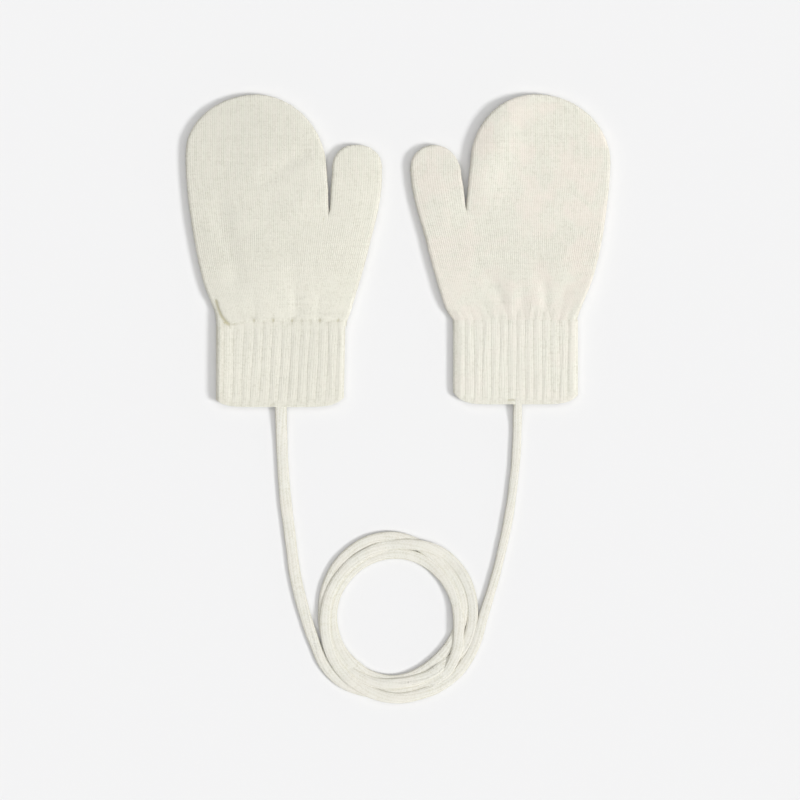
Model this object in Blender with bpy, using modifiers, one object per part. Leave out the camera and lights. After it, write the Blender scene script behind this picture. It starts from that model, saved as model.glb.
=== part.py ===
"""Pair of baby mittens laid flat, joined by one long knitted cord that lies in a coil.

Each mitten is a hollow knitted bag with a thumb, open at the wrist, and a ribbed cuff below it, an
open flattened tube. The wrist seam is the origin of each mitten's own frame: x runs across towards
the thumb, and height runs up to the fingertips. All sizes in the tables are millimetres.
"""
import math
from collections import namedtuple

import bmesh
import bpy
import numpy as np

MM = 0.001
GAP = 0.3                  # between two pieces that meet

# Knitted hand: two layers of plain knit, folded at the edges
HAND_WALL = 1.6
HAND_EDGE = 2.6            # how far in from the outline the edge rounds over
HAND_CROWN = 0.7           # soft fullness of the middle over the edges
CROWN_REACH = 14.0
EDGE_TIGHTENING = 0.6      # the inside of the wall turns tighter at the edges, per mm of wall
SPLIT_FOOT = 0.62          # where the line below the crotch meets the wrist, as a share of its reach

# Ribbed cuff: a thicker knit with ribs raised on its upper side
CUFF_WALL = 1.8
CUFF_THICK = 4.6
CUFF_EDGE = 2.4
RIB_HEIGHT = 0.75

# Knitted cord
CORD_DIAMETER = 4.7
CORD_RADIUS = CORD_DIAMETER / 2
COIL_CENTRE = (-0.4, -164.8)
COIL_INNER = 25.4          # radius of the hole in the coil
COIL_OUTER_WIDE = 35.6     # outer radius across
COIL_OUTER_TALL = 38.6     # outer radius along the mittens
COIL_HEIGHT = 8.7          # two layers of cord, settled into each other
COIL_ROUNDING = 2.3
COIL_STEPS = 40

# Grid of the surfaces: rows run across, columns run from the wrist to the tips
ROWS_OUTSIDE = (16, 13, 9)     # below the crotch, up the hand, up the thumb
ROWS_INSIDE = (5, 5, 4)
COLUMNS_HAND = 26
COLUMNS_THUMB = 9
ROWS_CUFF = 7
ROWS_CUFF_INSIDE = 2
COLUMNS_UNDER = 10         # across the cuff's flat underside
COLUMNS_PER_RIB = 5

WOOL = (0.800, 0.775, 0.680, 1.0)
WOOL_ROUGHNESS = 0.95

# Rows of a hand: height over the wrist seam, edge on the little finger's side, edge on the thumb's side
Section = namedtuple("Section", "height little thumb thick")
# Rows of the slit between hand and thumb: height, the hand's edge, the thumb's edge
Slit = namedtuple("Slit", "height hand thumb")
# A round tip: its highest point, the height where each side starts to turn in, and how full it is
Tip = namedtuple("Tip", "x height low_shoulder high_shoulder fullness")
# A soft fold on the upper side, from one end to the other: a trough where its height is negative
Fold = namedtuple("Fold", "x0 h0 x1 h1 height width")
# A cuff: its edges at the wrist and at the hem, how far the hem lies down at its middle and how far
# its two corners rise, and where the ribs start and how they are spaced
Cuff = namedtuple("Cuff", "little thumb little_hem thumb_hem drop little_rise thumb_rise first pitch lean")
Mitten = namedtuple("Mitten", "side wrist sections slit hand_tip thumb_tip folds cuff")

LEFT = Mitten(
    side=1,
    wrist=(-52.3, -32.0),
    sections=[
        Section(0, -29.3, 29.2, 5.0),
        Section(4, -29.9, 30.8, 5.0),
        Section(8, -31.3, 32.0, 5.0),
        Section(16, -34.5, 34.4, 4.8),
        Section(26, -37.1, 37.3, 4.7),
        Section(38, -39.4, 40.3, 4.6),
        Section(50, -41.3, 43.3, 4.6),
        Section(60, -42.4, 44.8, 4.5),
        Section(70, -43.0, 45.1, 4.5),
        Section(76, -43.1, 45.2, 4.4),
    ],
    slit=[
        Slit(49.5, 21.35, 21.35),
        Slit(52.5, 21.1, 21.75),
        Slit(59.4, 20.9, 22.1),
        Slit(64.4, 20.5, 22.5),
        Slit(69.3, 20.1, 22.8),
    ],
    hand_tip=Tip(-11.6, 102.2, 76.0, 68.4, 1.95),
    thumb_tip=Tip(33.4, 79.6, 69.3, 69.3, 2.15),
    folds=[
        Fold(-27.8, 51.3, -20.2, 21.6, -0.55, 4.5),
        Fold(3.7, 25.6, 7.7, 6.7, -0.5, 3.5),
        Fold(-8.0, 67.0, 6.0, 60.3, -0.35, 3.5),
        Fold(-29.0, 9.0, -23.5, 1.0, -0.8, 2.2),
        Fold(-22.0, 3.0, 24.0, 4.0, 0.6, 3.2),
    ],
    cuff=Cuff(-29.2, 28.7, -29.3, 28.0, 38.2, 3.2, 4.2, 3.4, 4.23, 2.0),
)

RIGHT = Mitten(
    side=-1,
    wrist=(52.7, -31.0),
    sections=[
        Section(0, -27.6, 28.0, 5.0),
        Section(4, -29.0, 30.8, 5.0),
        Section(8, -30.6, 32.4, 5.0),
        Section(16, -33.9, 34.9, 4.8),
        Section(26, -36.8, 37.8, 4.7),
        Section(38, -39.3, 40.8, 4.6),
        Section(50, -41.0, 44.3, 4.6),
        Section(60, -42.1, 46.4, 4.5),
        Section(70, -42.7, 47.3, 4.5),
        Section(76, -42.8, 47.5, 4.4),
    ],
    slit=[
        Slit(50.5, 22.2, 22.2),
        Slit(53.5, 21.9, 22.6),
        Slit(59.4, 21.3, 23.4),
        Slit(64.0, 20.9, 24.2),
        Slit(70.0, 20.2, 25.4),
    ],
    hand_tip=Tip(-9.0, 101.3, 70.2, 70.0, 2.0),
    thumb_tip=Tip(36.4, 78.5, 64.0, 68.4, 2.0),
    folds=[
        Fold(9.9, 18.5, 3.2, 0.5, -0.8, 2.6),
        Fold(-3.0, 12.0, -4.0, 0.5, -0.7, 2.2),
        Fold(-12.9, 15.0, -14.9, 0.5, -0.8, 2.4),
        Fold(-21.8, 12.0, -18.9, 0.5, -0.7, 2.2),
        Fold(-32.0, 30.0, -24.0, 12.0, -0.4, 4.5),
        Fold(15.5, 64.0, 3.5, 92.0, 1.9, 8.5),
    ],
    cuff=Cuff(-28.1, 27.9, -28.1, 27.9, 38.0, 4.2, 5.4, 4.7, 3.83, 0.0),
)

# Route of the cord where it isn't coiled, from each cuff to the coil
LEFT_ROUTE = [
    (-52.6, -70.6), (-52.4, -80.5), (-52.1, -90.5), (-51.5, -101.0), (-50.6, -112.0),
    (-49.2, -123.0), (-47.9, -133.5), (-46.5, -144.5), (-44.2, -155.0), (-41.2, -165.5),
    (-38.9, -172.5), (-36.4, -178.8),
]
RIGHT_ROUTE = [
    (53.7, -69.35), (53.6, -77.5), (53.4, -86.0), (52.8, -96.0), (51.6, -106.5),
    (50.1, -117.5), (48.0, -128.5), (45.6, -139.0), (42.7, -150.0), (40.1, -158.5),
    (37.9, -165.6),
]


def smooth(knots, values, at):
    """Smooth curve through a few values, by cubics that share their slopes."""
    knots, values, at = np.asarray(knots, float), np.asarray(values, float), np.asarray(at, float)
    slopes = np.gradient(values, knots)
    cell = np.clip(np.searchsorted(knots, at) - 1, 0, len(knots) - 2)
    span = knots[cell + 1] - knots[cell]
    t = (at - knots[cell]) / span
    from_left = (1 + 2 * t) * (1 - t) ** 2 * values[cell] + t * (1 - t) ** 2 * span * slopes[cell]
    from_right = t ** 2 * (3 - 2 * t) * values[cell + 1] + t ** 2 * (t - 1) * span * slopes[cell + 1]
    return from_left + from_right


def column(rows, name):
    return [getattr(row, name) for row in rows]


def edge(rows, name, low, high, count=40):
    """Points up one edge of a table's rows, between two heights."""
    heights = np.linspace(low, high, count)
    return np.column_stack([smooth(column(rows, "height"), column(rows, name), heights), heights])


def quarter(tip, foot, start, end, count=24):
    """Part of a quarter round, from its foot on a side (0 degrees) up to the tip (90 degrees)."""
    turn = np.radians(np.linspace(start, end, count))
    power = 2 / tip.fullness
    x = tip.x + (foot[0] - tip.x) * np.cos(turn) ** power
    height = foot[1] + (tip.height - foot[1]) * np.sin(turn) ** power
    return np.column_stack([x, height])


def along(points, fractions):
    """Places at fractions of a line's length."""
    steps = np.linalg.norm(np.diff(points, axis=0), axis=1)
    travelled = np.concatenate([[0], np.cumsum(steps)]) / steps.sum()
    return np.column_stack([np.interp(fractions, travelled, points[:, axis]) for axis in (0, 1)])


def eased(count, start, end):
    """Fractions from 0 to 1 that crowd towards the ends, more so the nearer start and end are to 1."""
    t = np.linspace(0, 1, count + 1)
    crowd = start * (1 - t) + end * t
    return t - crowd * np.sin(2 * math.pi * t) / (2 * math.pi)


def patch(left, right, bottom, top):
    """Grid of points inside four edges: left and right run up, bottom and top run across."""
    v = np.linspace(0, 1, len(left))[:, None, None]
    u = np.linspace(0, 1, len(bottom))[None, :, None]
    across = (1 - u) * left[:, None] + u * right[:, None]
    up = (1 - v) * bottom[None] + v * top[None]
    corners = ((1 - v) * ((1 - u) * bottom[0] + u * bottom[-1])
               + v * ((1 - u) * top[0] + u * top[-1]))
    return across + up - corners


def distance(points, line):
    """How far each point is from a line of points."""
    a, b = line[:-1], line[1:]
    run = b - a
    length = np.maximum((run ** 2).sum(1), 1e-12)
    flat = points.reshape(-1, 1, 2)
    t = np.clip(((flat - a) * run).sum(2) / length, 0, 1)
    nearest = a + t[..., None] * run
    return np.sqrt(((flat - nearest) ** 2).sum(2)).min(1).reshape(points.shape[:-1])


def rounded(depth, reach):
    """0 at an edge and 1 past its rounding, as a quarter of a circle."""
    inward = 1 - np.clip(depth / reach, 0, 1)
    return np.sqrt(1 - inward ** 2)


def fold_height(points, folds):
    """Sum of the soft folds: each is a bell across its line and fades past its ends."""
    total = np.zeros(points.shape[:-1])
    for fold in folds:
        line = np.array([[fold.x0, fold.h0], [fold.x1, fold.h1]])
        total += fold.height * np.exp(-(distance(points, line) / fold.width) ** 2)
    return total


def add_grid(mesh, points):
    """Faces between neighbouring points of a grid."""
    corners = [[mesh.verts.new(point) for point in row] for row in points]
    for low, high in zip(corners, corners[1:]):
        for i in range(len(low) - 1):
            mesh.faces.new((low[i], low[i + 1], high[i + 1], high[i]))


def placed(grid, heights, mitten):
    """Grid in metres in the mitten's own frame, with its thumb on the right side."""
    x = grid[..., 0] * mitten.side
    return np.stack([x, grid[..., 1], heights], axis=-1) * MM


def wool_material(name):
    material = bpy.data.materials.new(name)
    material.use_nodes = True
    shader = material.node_tree.nodes["Principled BSDF"]
    shader.inputs["Base Color"].default_value = WOOL
    shader.inputs["Roughness"].default_value = WOOL_ROUGHNESS
    shader.inputs["Metallic"].default_value = 0.0
    return material


def new_object(name, data, location=(0, 0, 0)):
    data.materials.append(wool_material(name + "_wool"))
    item = bpy.data.objects.new(name, data)
    item.location = location
    collection.objects.link(item)
    return item


def closed_mesh(name, mesh):
    """Weld the grids' shared borders, turn the faces outwards and shade them smooth."""
    bmesh.ops.remove_doubles(mesh, verts=mesh.verts, dist=0.01 * MM)
    bmesh.ops.recalc_face_normals(mesh, faces=mesh.faces)
    data = bpy.data.meshes.new(name)
    mesh.to_mesh(data)
    mesh.free()
    data.shade_smooth()
    data.set_sharp_from_angle(angle=math.radians(50))
    return data


def hand_borders(mitten):
    """The borders of the hand and of the thumb, each split at the crotch and at its tip's corners."""
    sections, slit = mitten.sections, mitten.slit
    hand_tip, thumb_tip = mitten.hand_tip, mitten.thumb_tip
    crotch = slit[0].height

    def foot(rows, name, height):
        return float(smooth(column(rows, "height"), column(rows, name), height)), height

    little_foot = foot(sections, "little", hand_tip.low_shoulder)
    slit_foot = foot(slit, "hand", hand_tip.high_shoulder)
    inner_foot = foot(slit, "thumb", thumb_tip.low_shoulder)
    outer_foot = foot(sections, "thumb", thumb_tip.high_shoulder)
    return {
        "little_below": edge(sections, "little", 0, crotch),
        "little_above": np.vstack([edge(sections, "little", crotch, hand_tip.low_shoulder),
                                   quarter(hand_tip, little_foot, 0, 45)]),
        "hand_top": np.vstack([quarter(hand_tip, little_foot, 45, 90),
                               quarter(hand_tip, slit_foot, 90, 45)]),
        "hand_above": np.vstack([edge(slit, "hand", crotch, hand_tip.high_shoulder),
                                 quarter(hand_tip, slit_foot, 0, 45)]),
        "thumb_inner": np.vstack([edge(slit, "thumb", crotch, thumb_tip.low_shoulder),
                                  quarter(thumb_tip, inner_foot, 0, 45)]),
        "thumb_top": np.vstack([quarter(thumb_tip, inner_foot, 45, 90),
                                quarter(thumb_tip, outer_foot, 90, 45)]),
        "thumb_outer": np.vstack([edge(sections, "thumb", crotch, thumb_tip.high_shoulder),
                                  quarter(thumb_tip, outer_foot, 0, 45)]),
        "thumb_below": edge(sections, "thumb", 0, crotch),
    }


def inset_borders(borders, inset):
    """The same borders moved into the cloth, for the inside of the wall."""
    cloth_on_the_left = ("hand_above", "thumb_outer", "thumb_below")
    moved = {}
    for name, points in borders.items():
        run = np.gradient(points, axis=0)
        run /= np.linalg.norm(run, axis=1)[:, None]
        inward = np.column_stack([run[:, 1], -run[:, 0]])
        if name in cloth_on_the_left:
            inward = -inward
        moved[name] = points + inset * inward
    crotch = borders["hand_above"][0] - np.array([0, inset])
    moved["hand_above"][0] = moved["thumb_inner"][0] = crotch
    return moved


def hand_grids(borders, rows):
    """One grid for the hand and one for the thumb, which share a line from the wrist to the crotch."""
    below, hand_up, thumb_up = rows
    below_shares = eased(below, 0.0, 0.8)
    crotch = borders["hand_above"][0]
    split = np.linspace((crotch[0] * SPLIT_FOOT, 0), crotch, 20)

    def side(low, high, count):
        return np.vstack([along(low, below_shares), along(high, eased(count, 0.6, 0.6))[1:]])

    hand_left = side(borders["little_below"], borders["little_above"], hand_up)
    hand_right = side(split, borders["hand_above"], hand_up)
    thumb_left = side(split, borders["thumb_inner"], thumb_up)
    thumb_right = side(borders["thumb_below"], borders["thumb_outer"], thumb_up)
    hand_across, thumb_across = eased(COLUMNS_HAND, 0.85, 0.5), eased(COLUMNS_THUMB, 0.2, 0.7)
    hand_wrist = along(np.array([hand_left[0], hand_right[0]]), hand_across)
    thumb_wrist = along(np.array([thumb_left[0], thumb_right[0]]), thumb_across)
    hand_top = along(borders["hand_top"], eased(COLUMNS_HAND, 0.6, 0.6))
    thumb_top = along(borders["thumb_top"], eased(COLUMNS_THUMB, 0.5, 0.5))
    return (patch(hand_left, hand_right, hand_wrist, hand_top),
            patch(thumb_left, thumb_right, thumb_wrist, thumb_top))


def border_depths(borders, grids, below):
    """How far each grid point lies inside the outline, and exactly nothing on it."""
    outline = np.vstack([borders["little_below"], borders["little_above"], borders["hand_top"],
                         borders["hand_above"][::-1], borders["thumb_inner"], borders["thumb_top"],
                         borders["thumb_outer"][::-1], borders["thumb_below"][::-1]])
    hand, thumb = (distance(grid, outline) for grid in grids)
    hand[:, 0] = hand[-1] = thumb[:, -1] = thumb[-1] = 0
    hand[below:, -1] = thumb[below:, 0] = 0
    return hand, thumb


def hand_layers(mitten, inset, rows):
    """The upper and the lower layer of the hand and of the thumb, on one side of the wall."""
    borders = hand_borders(mitten)
    if inset:
        borders = inset_borders(borders, inset)
    grids = hand_grids(borders, rows)
    reach = HAND_EDGE - inset * EDGE_TIGHTENING
    layers = []
    for grid, depth in zip(grids, border_depths(borders, grids, rows[0])):
        thick = smooth(column(mitten.sections, "height"), column(mitten.sections, "thick"),
                       np.clip(grid[..., 1], 0, mitten.sections[-1].height))
        bulge = rounded(depth, reach)
        half = (thick / 2 - inset) * bulge
        fullness = HAND_CROWN * rounded(depth + inset, CROWN_REACH) + fold_height(grid, mitten.folds)
        layers.append(placed(grid, thick / 2 + half + bulge * fullness, mitten))
        layers.append(placed(grid, thick / 2 - half, mitten))
    return layers


def build_hand(name, mitten):
    """Hollow hand and thumb, open at the wrist: a flat lower layer and a soft upper one."""
    mesh = bmesh.new()
    outside = hand_layers(mitten, 0, ROWS_OUTSIDE)
    inside = hand_layers(mitten, HAND_WALL, ROWS_INSIDE)
    for layer in outside + inside:
        add_grid(mesh, layer)
    for outer, inner in zip(outside, inside):
        add_grid(mesh, [outer[0], inner[0]])
    return new_object(name, closed_mesh(name, mesh), wrist_place(mitten))


def wrist_place(mitten):
    return (mitten.wrist[0] * MM, mitten.wrist[1] * MM, 0)


def cuff_line(cuff, share):
    """The hem, along the cuff's width: nearly straight, with its two corners rounded up."""
    corner = np.abs(2 * share - 1) ** 7
    rise = np.where(share < 0.5, cuff.little_rise, cuff.thumb_rise)
    x = cuff.little_hem + (cuff.thumb_hem - cuff.little_hem) * share
    return np.column_stack([x, -cuff.drop + rise * corner])


def rib_columns(cuff):
    """Places across the upper side, from edge to edge: the rounded edges, and each rib's sides."""
    width = cuff.thumb - cuff.little
    ribs = int((width - 2 * cuff.first) / cuff.pitch + 0.5)
    inner = cuff.first + np.arange(ribs * COLUMNS_PER_RIB + 1) * cuff.pitch / COLUMNS_PER_RIB
    left = cuff.first * np.array([0, 0.12, 0.4, 0.7])
    right = width - (width - inner[-1]) * np.array([0.7, 0.4, 0.12, 0])
    return np.concatenate([left, inner, right]) / width


def rib_profile(cuff, across):
    """Height of the ribs, from 0 in the grooves to 1 on the crests."""
    phase = (across - cuff.first) / cuff.pitch
    return np.abs(np.sin(math.pi * phase)) ** 0.7


def cuff_grid(cuff, shares, rows, inset):
    """Grid over the cuff from the wrist end to the hem, inset at its two sides."""
    width = cuff.thumb - cuff.little
    squeezed = (inset + shares * (width - 2 * inset)) / width
    down = np.linspace(0, 1, rows + 1)[:, None]
    top = np.column_stack([cuff.little + width * squeezed, np.full(len(shares), -GAP)])
    hem = cuff_line(cuff, squeezed)
    grid = (1 - down[..., None]) * top + down[..., None] * hem
    lean = cuff.lean * (1 - down) * np.sin(math.pi * squeezed) ** 0.8
    grid[..., 0] += lean - cuff.lean / 2 * np.sin(math.pi * squeezed) ** 0.8
    depth = np.minimum(squeezed, 1 - squeezed) * width
    return grid, np.broadcast_to(depth, grid.shape[:-1]), squeezed * width


def build_cuff(name, mitten):
    """Ribbed tube, pressed flat and open at both ends: ribs on its upper side, plain inside."""
    cuff = mitten.cuff
    upper_shares = rib_columns(cuff)
    under_shares = (1 - np.cos(np.linspace(0, math.pi, COLUMNS_UNDER + 1))) / 2
    mesh = bmesh.new()
    rims = []
    for inset, rows in ((0.0, ROWS_CUFF), (CUFF_WALL, ROWS_CUFF_INSIDE)):
        reach = CUFF_EDGE - inset * EDGE_TIGHTENING
        half = CUFF_THICK / 2 - inset
        for shares, sign in ((upper_shares, 1), (under_shares, -1)):
            grid, depth, across = cuff_grid(cuff, shares, rows, inset)
            bulge = rounded(depth - inset, reach)
            heights = CUFF_THICK / 2 + sign * half * bulge
            if inset == 0 and sign > 0:
                heights = heights + RIB_HEIGHT * rib_profile(cuff, across) * bulge
            points = placed(grid, heights, mitten)
            add_grid(mesh, points)
            rims.append((points[0], points[-1]))
    outer_upper, outer_under, inner_upper, inner_under = rims
    for outer, inner in ((outer_upper, inner_upper), (outer_under, inner_under)):
        for end in (0, 1):
            add_grid(mesh, [outer[end], inner[end]])
    return new_object(name, closed_mesh(name, mesh), wrist_place(mitten))


def route_points(route):
    """Evenly spaced points on one smooth curve through a route's own points."""
    route = np.array(route)
    steps = np.linalg.norm(np.diff(route, axis=0), axis=1)
    travelled = np.concatenate([[0], np.cumsum(steps)])
    count = int(travelled[-1] / (2 * CORD_DIAMETER)) + 1
    at = np.linspace(0, travelled[-1], count + 1)
    return np.column_stack([smooth(travelled, route[:, axis], at) for axis in (0, 1)])


def build_run(name, route):
    """A stretch of cord that isn't coiled, lying on the surface."""
    points = route_points(route)
    data = bpy.data.curves.new(name, "CURVE")
    data.dimensions = "3D"
    data.bevel_depth = CORD_RADIUS * MM
    data.bevel_resolution = 3
    data.use_fill_caps = True
    spline = data.splines.new("POLY")
    spline.points.add(len(points) - 1)
    for point, (x, y) in zip(spline.points, points):
        point.co = (x * MM, y * MM, CORD_RADIUS * MM, 1)
    return new_object(name, data)


def build_coil(name):
    """The coiled turns as one turned ring, a little taller than wide."""
    stretch = COIL_OUTER_TALL / COIL_OUTER_WIDE
    low, high = COIL_ROUNDING, COIL_HEIGHT - COIL_ROUNDING
    inner, outer = COIL_INNER + COIL_ROUNDING, COIL_OUTER_WIDE - COIL_ROUNDING
    profile = []
    for (x, z), start in (((outer, high), 90), ((outer, low), 0), ((inner, low), -90), ((inner, high), 180)):
        for turn in (0, 45, 90):
            angle = math.radians(start - turn)
            profile.append((x + COIL_ROUNDING * math.cos(angle), z + COIL_ROUNDING * math.sin(angle)))
    mesh = bmesh.new()
    verts = [mesh.verts.new((x * MM, 0, z * MM)) for x, z in profile]
    for start, end in zip(verts, verts[1:] + verts[:1]):
        mesh.edges.new((start, end))
    data = bpy.data.meshes.new(name)
    mesh.to_mesh(data)
    mesh.free()
    coil = new_object(name, data, (COIL_CENTRE[0] * MM, COIL_CENTRE[1] * MM, 0))
    coil.scale = (1, stretch, 1)
    screw = coil.modifiers.new("turn", "SCREW")
    screw.steps = screw.render_steps = COIL_STEPS
    screw.use_merge_vertices = True
    screw.merge_threshold = 0.01 * MM
    return coil


for old in list(bpy.data.objects):
    bpy.data.objects.remove(old, do_unlink=True)
collection = bpy.data.collections.new("mittens_on_a_cord")
bpy.context.scene.collection.children.link(collection)

for label, pair in (("left", LEFT), ("right", RIGHT)):
    build_hand(label + "_hand", pair)
    build_cuff(label + "_cuff", pair)
build_run("cord_left_run", LEFT_ROUTE)
build_run("cord_right_run", RIGHT_ROUTE)
build_coil("cord_coil")
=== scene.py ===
"""Looks of a pair of baby mittens on a knitted cord, laid flat and seen from straight above.

Each mitten is drawn in its own frame, as in the CAD: x runs across towards the thumb and height runs
up from the wrist seam to the fingertips, and the right mitten is mirrored. Sizes are millimetres
until a piece is placed, and then metres. Every knitted piece carries its knit as coordinates on its
points: the number of the wale, the number of the course, and the relief that colours it, which is 1 on
the crests, 0 in the grooves and lower in creases and on turned sides. Where it is low the colour is
darker: shade painted into the grooves, the creases and the turned sides.
"""

import math
from collections import namedtuple

import bmesh
import bpy
import numpy as np
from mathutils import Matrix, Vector


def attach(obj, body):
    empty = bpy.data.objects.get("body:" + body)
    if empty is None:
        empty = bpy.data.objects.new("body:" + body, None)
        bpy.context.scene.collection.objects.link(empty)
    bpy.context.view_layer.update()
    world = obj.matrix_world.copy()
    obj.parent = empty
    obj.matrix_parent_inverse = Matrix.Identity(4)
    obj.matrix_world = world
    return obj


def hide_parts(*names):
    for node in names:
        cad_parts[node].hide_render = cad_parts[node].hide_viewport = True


MM = 0.001

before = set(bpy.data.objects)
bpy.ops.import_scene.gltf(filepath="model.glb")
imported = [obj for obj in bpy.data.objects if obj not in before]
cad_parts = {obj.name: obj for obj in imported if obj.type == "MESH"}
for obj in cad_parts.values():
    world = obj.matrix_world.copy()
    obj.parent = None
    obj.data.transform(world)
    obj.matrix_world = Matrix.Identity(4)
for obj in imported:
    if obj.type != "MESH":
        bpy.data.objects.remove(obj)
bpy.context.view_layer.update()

# The photograph's frame: square, seen from straight above, at one scale
PHOTO_PIXELS = 800
MM_PER_PIXEL = 0.45
ORIGIN_PIXEL = (398.0, 251.0)
CAMERA_HEIGHT = 1.3
SENSOR = 36.0

# Lights: direction as degrees from +X and above the floor, strength, and how wide the light looks
Light = namedtuple("Light", "name azimuth elevation strength angle")
LIGHTS = [
    Light("key_from_the_right", -20.0, 45.0, 1.90, 15.0),
    Light("soft_overhead", 0.0, 90.0, 1.55, 70.0),
]
ROOM_LIGHT = 0.15
HORIZON_LIGHT = 0.90
HORIZON_TOP = 0.5
FLOOR_COLOUR = (0.800, 0.800, 0.803, 1.0)
FLOOR_SIZE = 12.0
FLOOR_DROP = 0.0003
FLOOR_ROUGHNESS = 0.95
FLOOR_SHINE = 0.1

# Knit
WALE_RELIEF = 0.19  # depth of the grooves between wales
WRIST_WALES = 0.55  # how much of that depth is left at the wrist
WALES_DEEPEN = (4.0, 30.0)  # it grows to its full depth between these heights
WALE_ROUND = 0.8  # less than 1 makes the grooves narrower than the crests
COURSE = 0.82  # height of one stitch
COLUMNS_PER_WALE = 4
HAND_WALES = 63
THUMB_WALES = 22
WALES_PER_RIB = 4
COLUMNS_PER_CUFF_WALE = 6
WELD = 0.004
SHORTEST_EDGE = 0.001
SHARP_ANGLE = 62.0

# Hand
HAND_WALL = 1.6
HAND_EDGE = 1.7
HAND_CROWN = 0.9
CROWN_REACH = 20.0
CROWN_RISE = 26.0  # the crown is lower towards the wrist, up to this height
EDGE_SQUARENESS = 2.6
EDGE_WAVER = 0.09  # how far the knitted edge strays from a clean outline
WAVER_WAVES = 6
WAVER_TURNS = (0.7, 3.6)
STRAY_START = 4.0  # it strays fully this far above the wrist
STRAY_CLEAR = 3.0  # and on the slit's side only this far above the crotch
STRAY_FALL = 9  # the higher this is, the nearer the edge the straying stays
EDGE_TIGHTENING = 0.6
ROWS_HAND = (46, 38)  # below and above the crotch, outside
ROWS_HAND_INSIDE = (8, 10)
ROW_SPREAD = 0.55  # how much closer the rows are towards the wrist
TIP_SPREAD = 1.75  # and towards the tip
CROTCH_REACH = 1.5
HAND_SEED = 31
UPPER_SEED = 11
UNDERSIDE_SEED = 5
UNEVEN_WAVES = 7
UNEVEN_SIZES = (14.0, 40.0)
UNEVEN_ABOVE = 0.14
UNEVEN_BELOW = 0.12
ROWS_AREA = (12, 12)  # of the grid on which the cloth's area is measured
WRIST_CROWN = 0.25  # how much of the crown is left at the wrist
CREASE_DEPTH = 0.26
CREASE_SHADE = 2.2  # how far a crease lowers the relief that colours the knit, painting shade into it
# Painted shade in the seam's dimples at the top of the cuff
SEAM_SHADE = 1.0
SIDE_SHADE = 1.1  # how far the turned sides of a piece lower it, painting shade on them
SIDE_REACH = 1.3
TUCK = 1.8  # how far the hand reaches down inside the cuff's end
TUCK_DEPTH = 0.12
TUCK_START = 0.4

# Where the hand meets the cuff
PUFF_REACH = 2.8  # a puffed hand has its full height this far above its puff line
PUFF_WIDTH = 3.5
FLUTE_TURN = 2.4  # sets how far each rib runs up into the hand
FLUTE_FALL = 1.6
DIMPLE_START = (-17.0, -14.0)
DIMPLE_TURN = 2.7  # sets how deep and tall the dimple over each groove is
DIMPLE_ROUND = 1.3
DIMPLE_DEPTH = 0.34
DIMPLE_MORE = 0.72
SEAM_LINE = 0.30  # how deep the seam's line is where there is no dimple
SEAM_LINE_HEIGHT = 0.3
SEAM_LINE_WIDTH = 0.7
SEAM_SHADE_WIDTH = 0.9

# Cuff
CUFF_WALL = 1.8
CUFF_THICK = 4.6
RIB_HEIGHT = 0.30
RIB_ROUND = 1.15
RIB_SIZES = (0.82, 1.12)  # each rib's own share of its height lies between these
RIB_UNEVEN = 0.10  # how much it varies along the rib
RIB_WAVE = 5.0
RIB_WALE_SHARE = 0.6  # how much of their depth the wales have on the ribs
UNDER_RIB = 0.45  # height of the ribs on the underside
UNDER_RIB_REACH = 4.0
LEAN_ROUND = 0.8
CUFF_SEED = 23
SEAM = 0.05  # the cuff begins this far below the hand
ROWS_CUFF = 56
ROWS_CUFF_INSIDE = 4
COLUMNS_CUFF_EDGE = 16
EDGE_COLUMN_SPREAD = 1.6
HEM_ROW_SPREAD = 1.35
# Painted shade along the hem, where it turns down
HEM_SHADE = 0.35
# Painted shade in the rib grooves
GROOVE_SHADE = 0.35
CUFF_WALE_SHARE = 0.5  # how much fainter the wales are on the ribs
ROLL_REACH = 5.0  # how wide the little-finger side of the cuff rolls up
ROLL_TOP = 5.0  # it ends this far up the hand
# Painted shade on the rolled-up side, where it turns away from the light
ROLL_SHADE = 0.45
RIB_GATHER = 7.0  # the ribs reach their full height this far below the wrist
RIB_WANDER = 0.22  # how far a rib strays to either side
WANDER_WAVES = 4
WANDER_SPEEDS = (0.7, 1.3)
WANDER_TURN = 2.1
WANDER_LENGTH = 7.0
WANDER_SIDES = (0.5, 5.0)  # it sets in between these distances from the cuff's sides
WANDER_WRIST = 3.0
HEM_CORNER = 7  # the higher this is, the nearer its corners the hem turns up
HEM_START = 0.25
HEM_RIB_SHARE = 0.12  # how much of the ribs' height is left at the hem
HEM_REACH = 3.0
HEM_DROP = 1.0
HEM_PLAIN = (0.8, 4.6)  # the ribs fade between these heights above the hem

# Cord
CORD_DIAMETER = 4.7  # its width; it lies a little flattened
CORD_HEIGHT = 2.4
CORD_SQUARENESS = 2.5  # 2 is an ellipse
CORD_REST = CORD_HEIGHT / 2
COIL_MIDDLE = (-1.6, -164.9)
CORD_WALES = 6
CORD_SIDES = CORD_WALES * 7
CORD_COURSE = 1.35
CORD_RELIEF = 0.02
# Painted shade on the cord's turned sides
CORD_SIDE_SHADE = 0.8
CORD_WALE_SHARE = 0.2  # how much of the wales shows in the cord's colour, as shade painted into their grooves
CORD_TAG = 0.04  # the relief that colours the cord, between the wales
CORD_SIDES_TURN = (0.45, 0.95)
CORD_TWIST = 0.0022  # turns for each millimetre
CORD_TWIST_WAVER = (0.06, 17.0)
CORD_SWELLS = ((0.02, 6.1), (0.015, 2.3))
CORD_END = 0.55  # how much of its width is left at its two ends
CORD_END_REACH = 1.6
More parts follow.
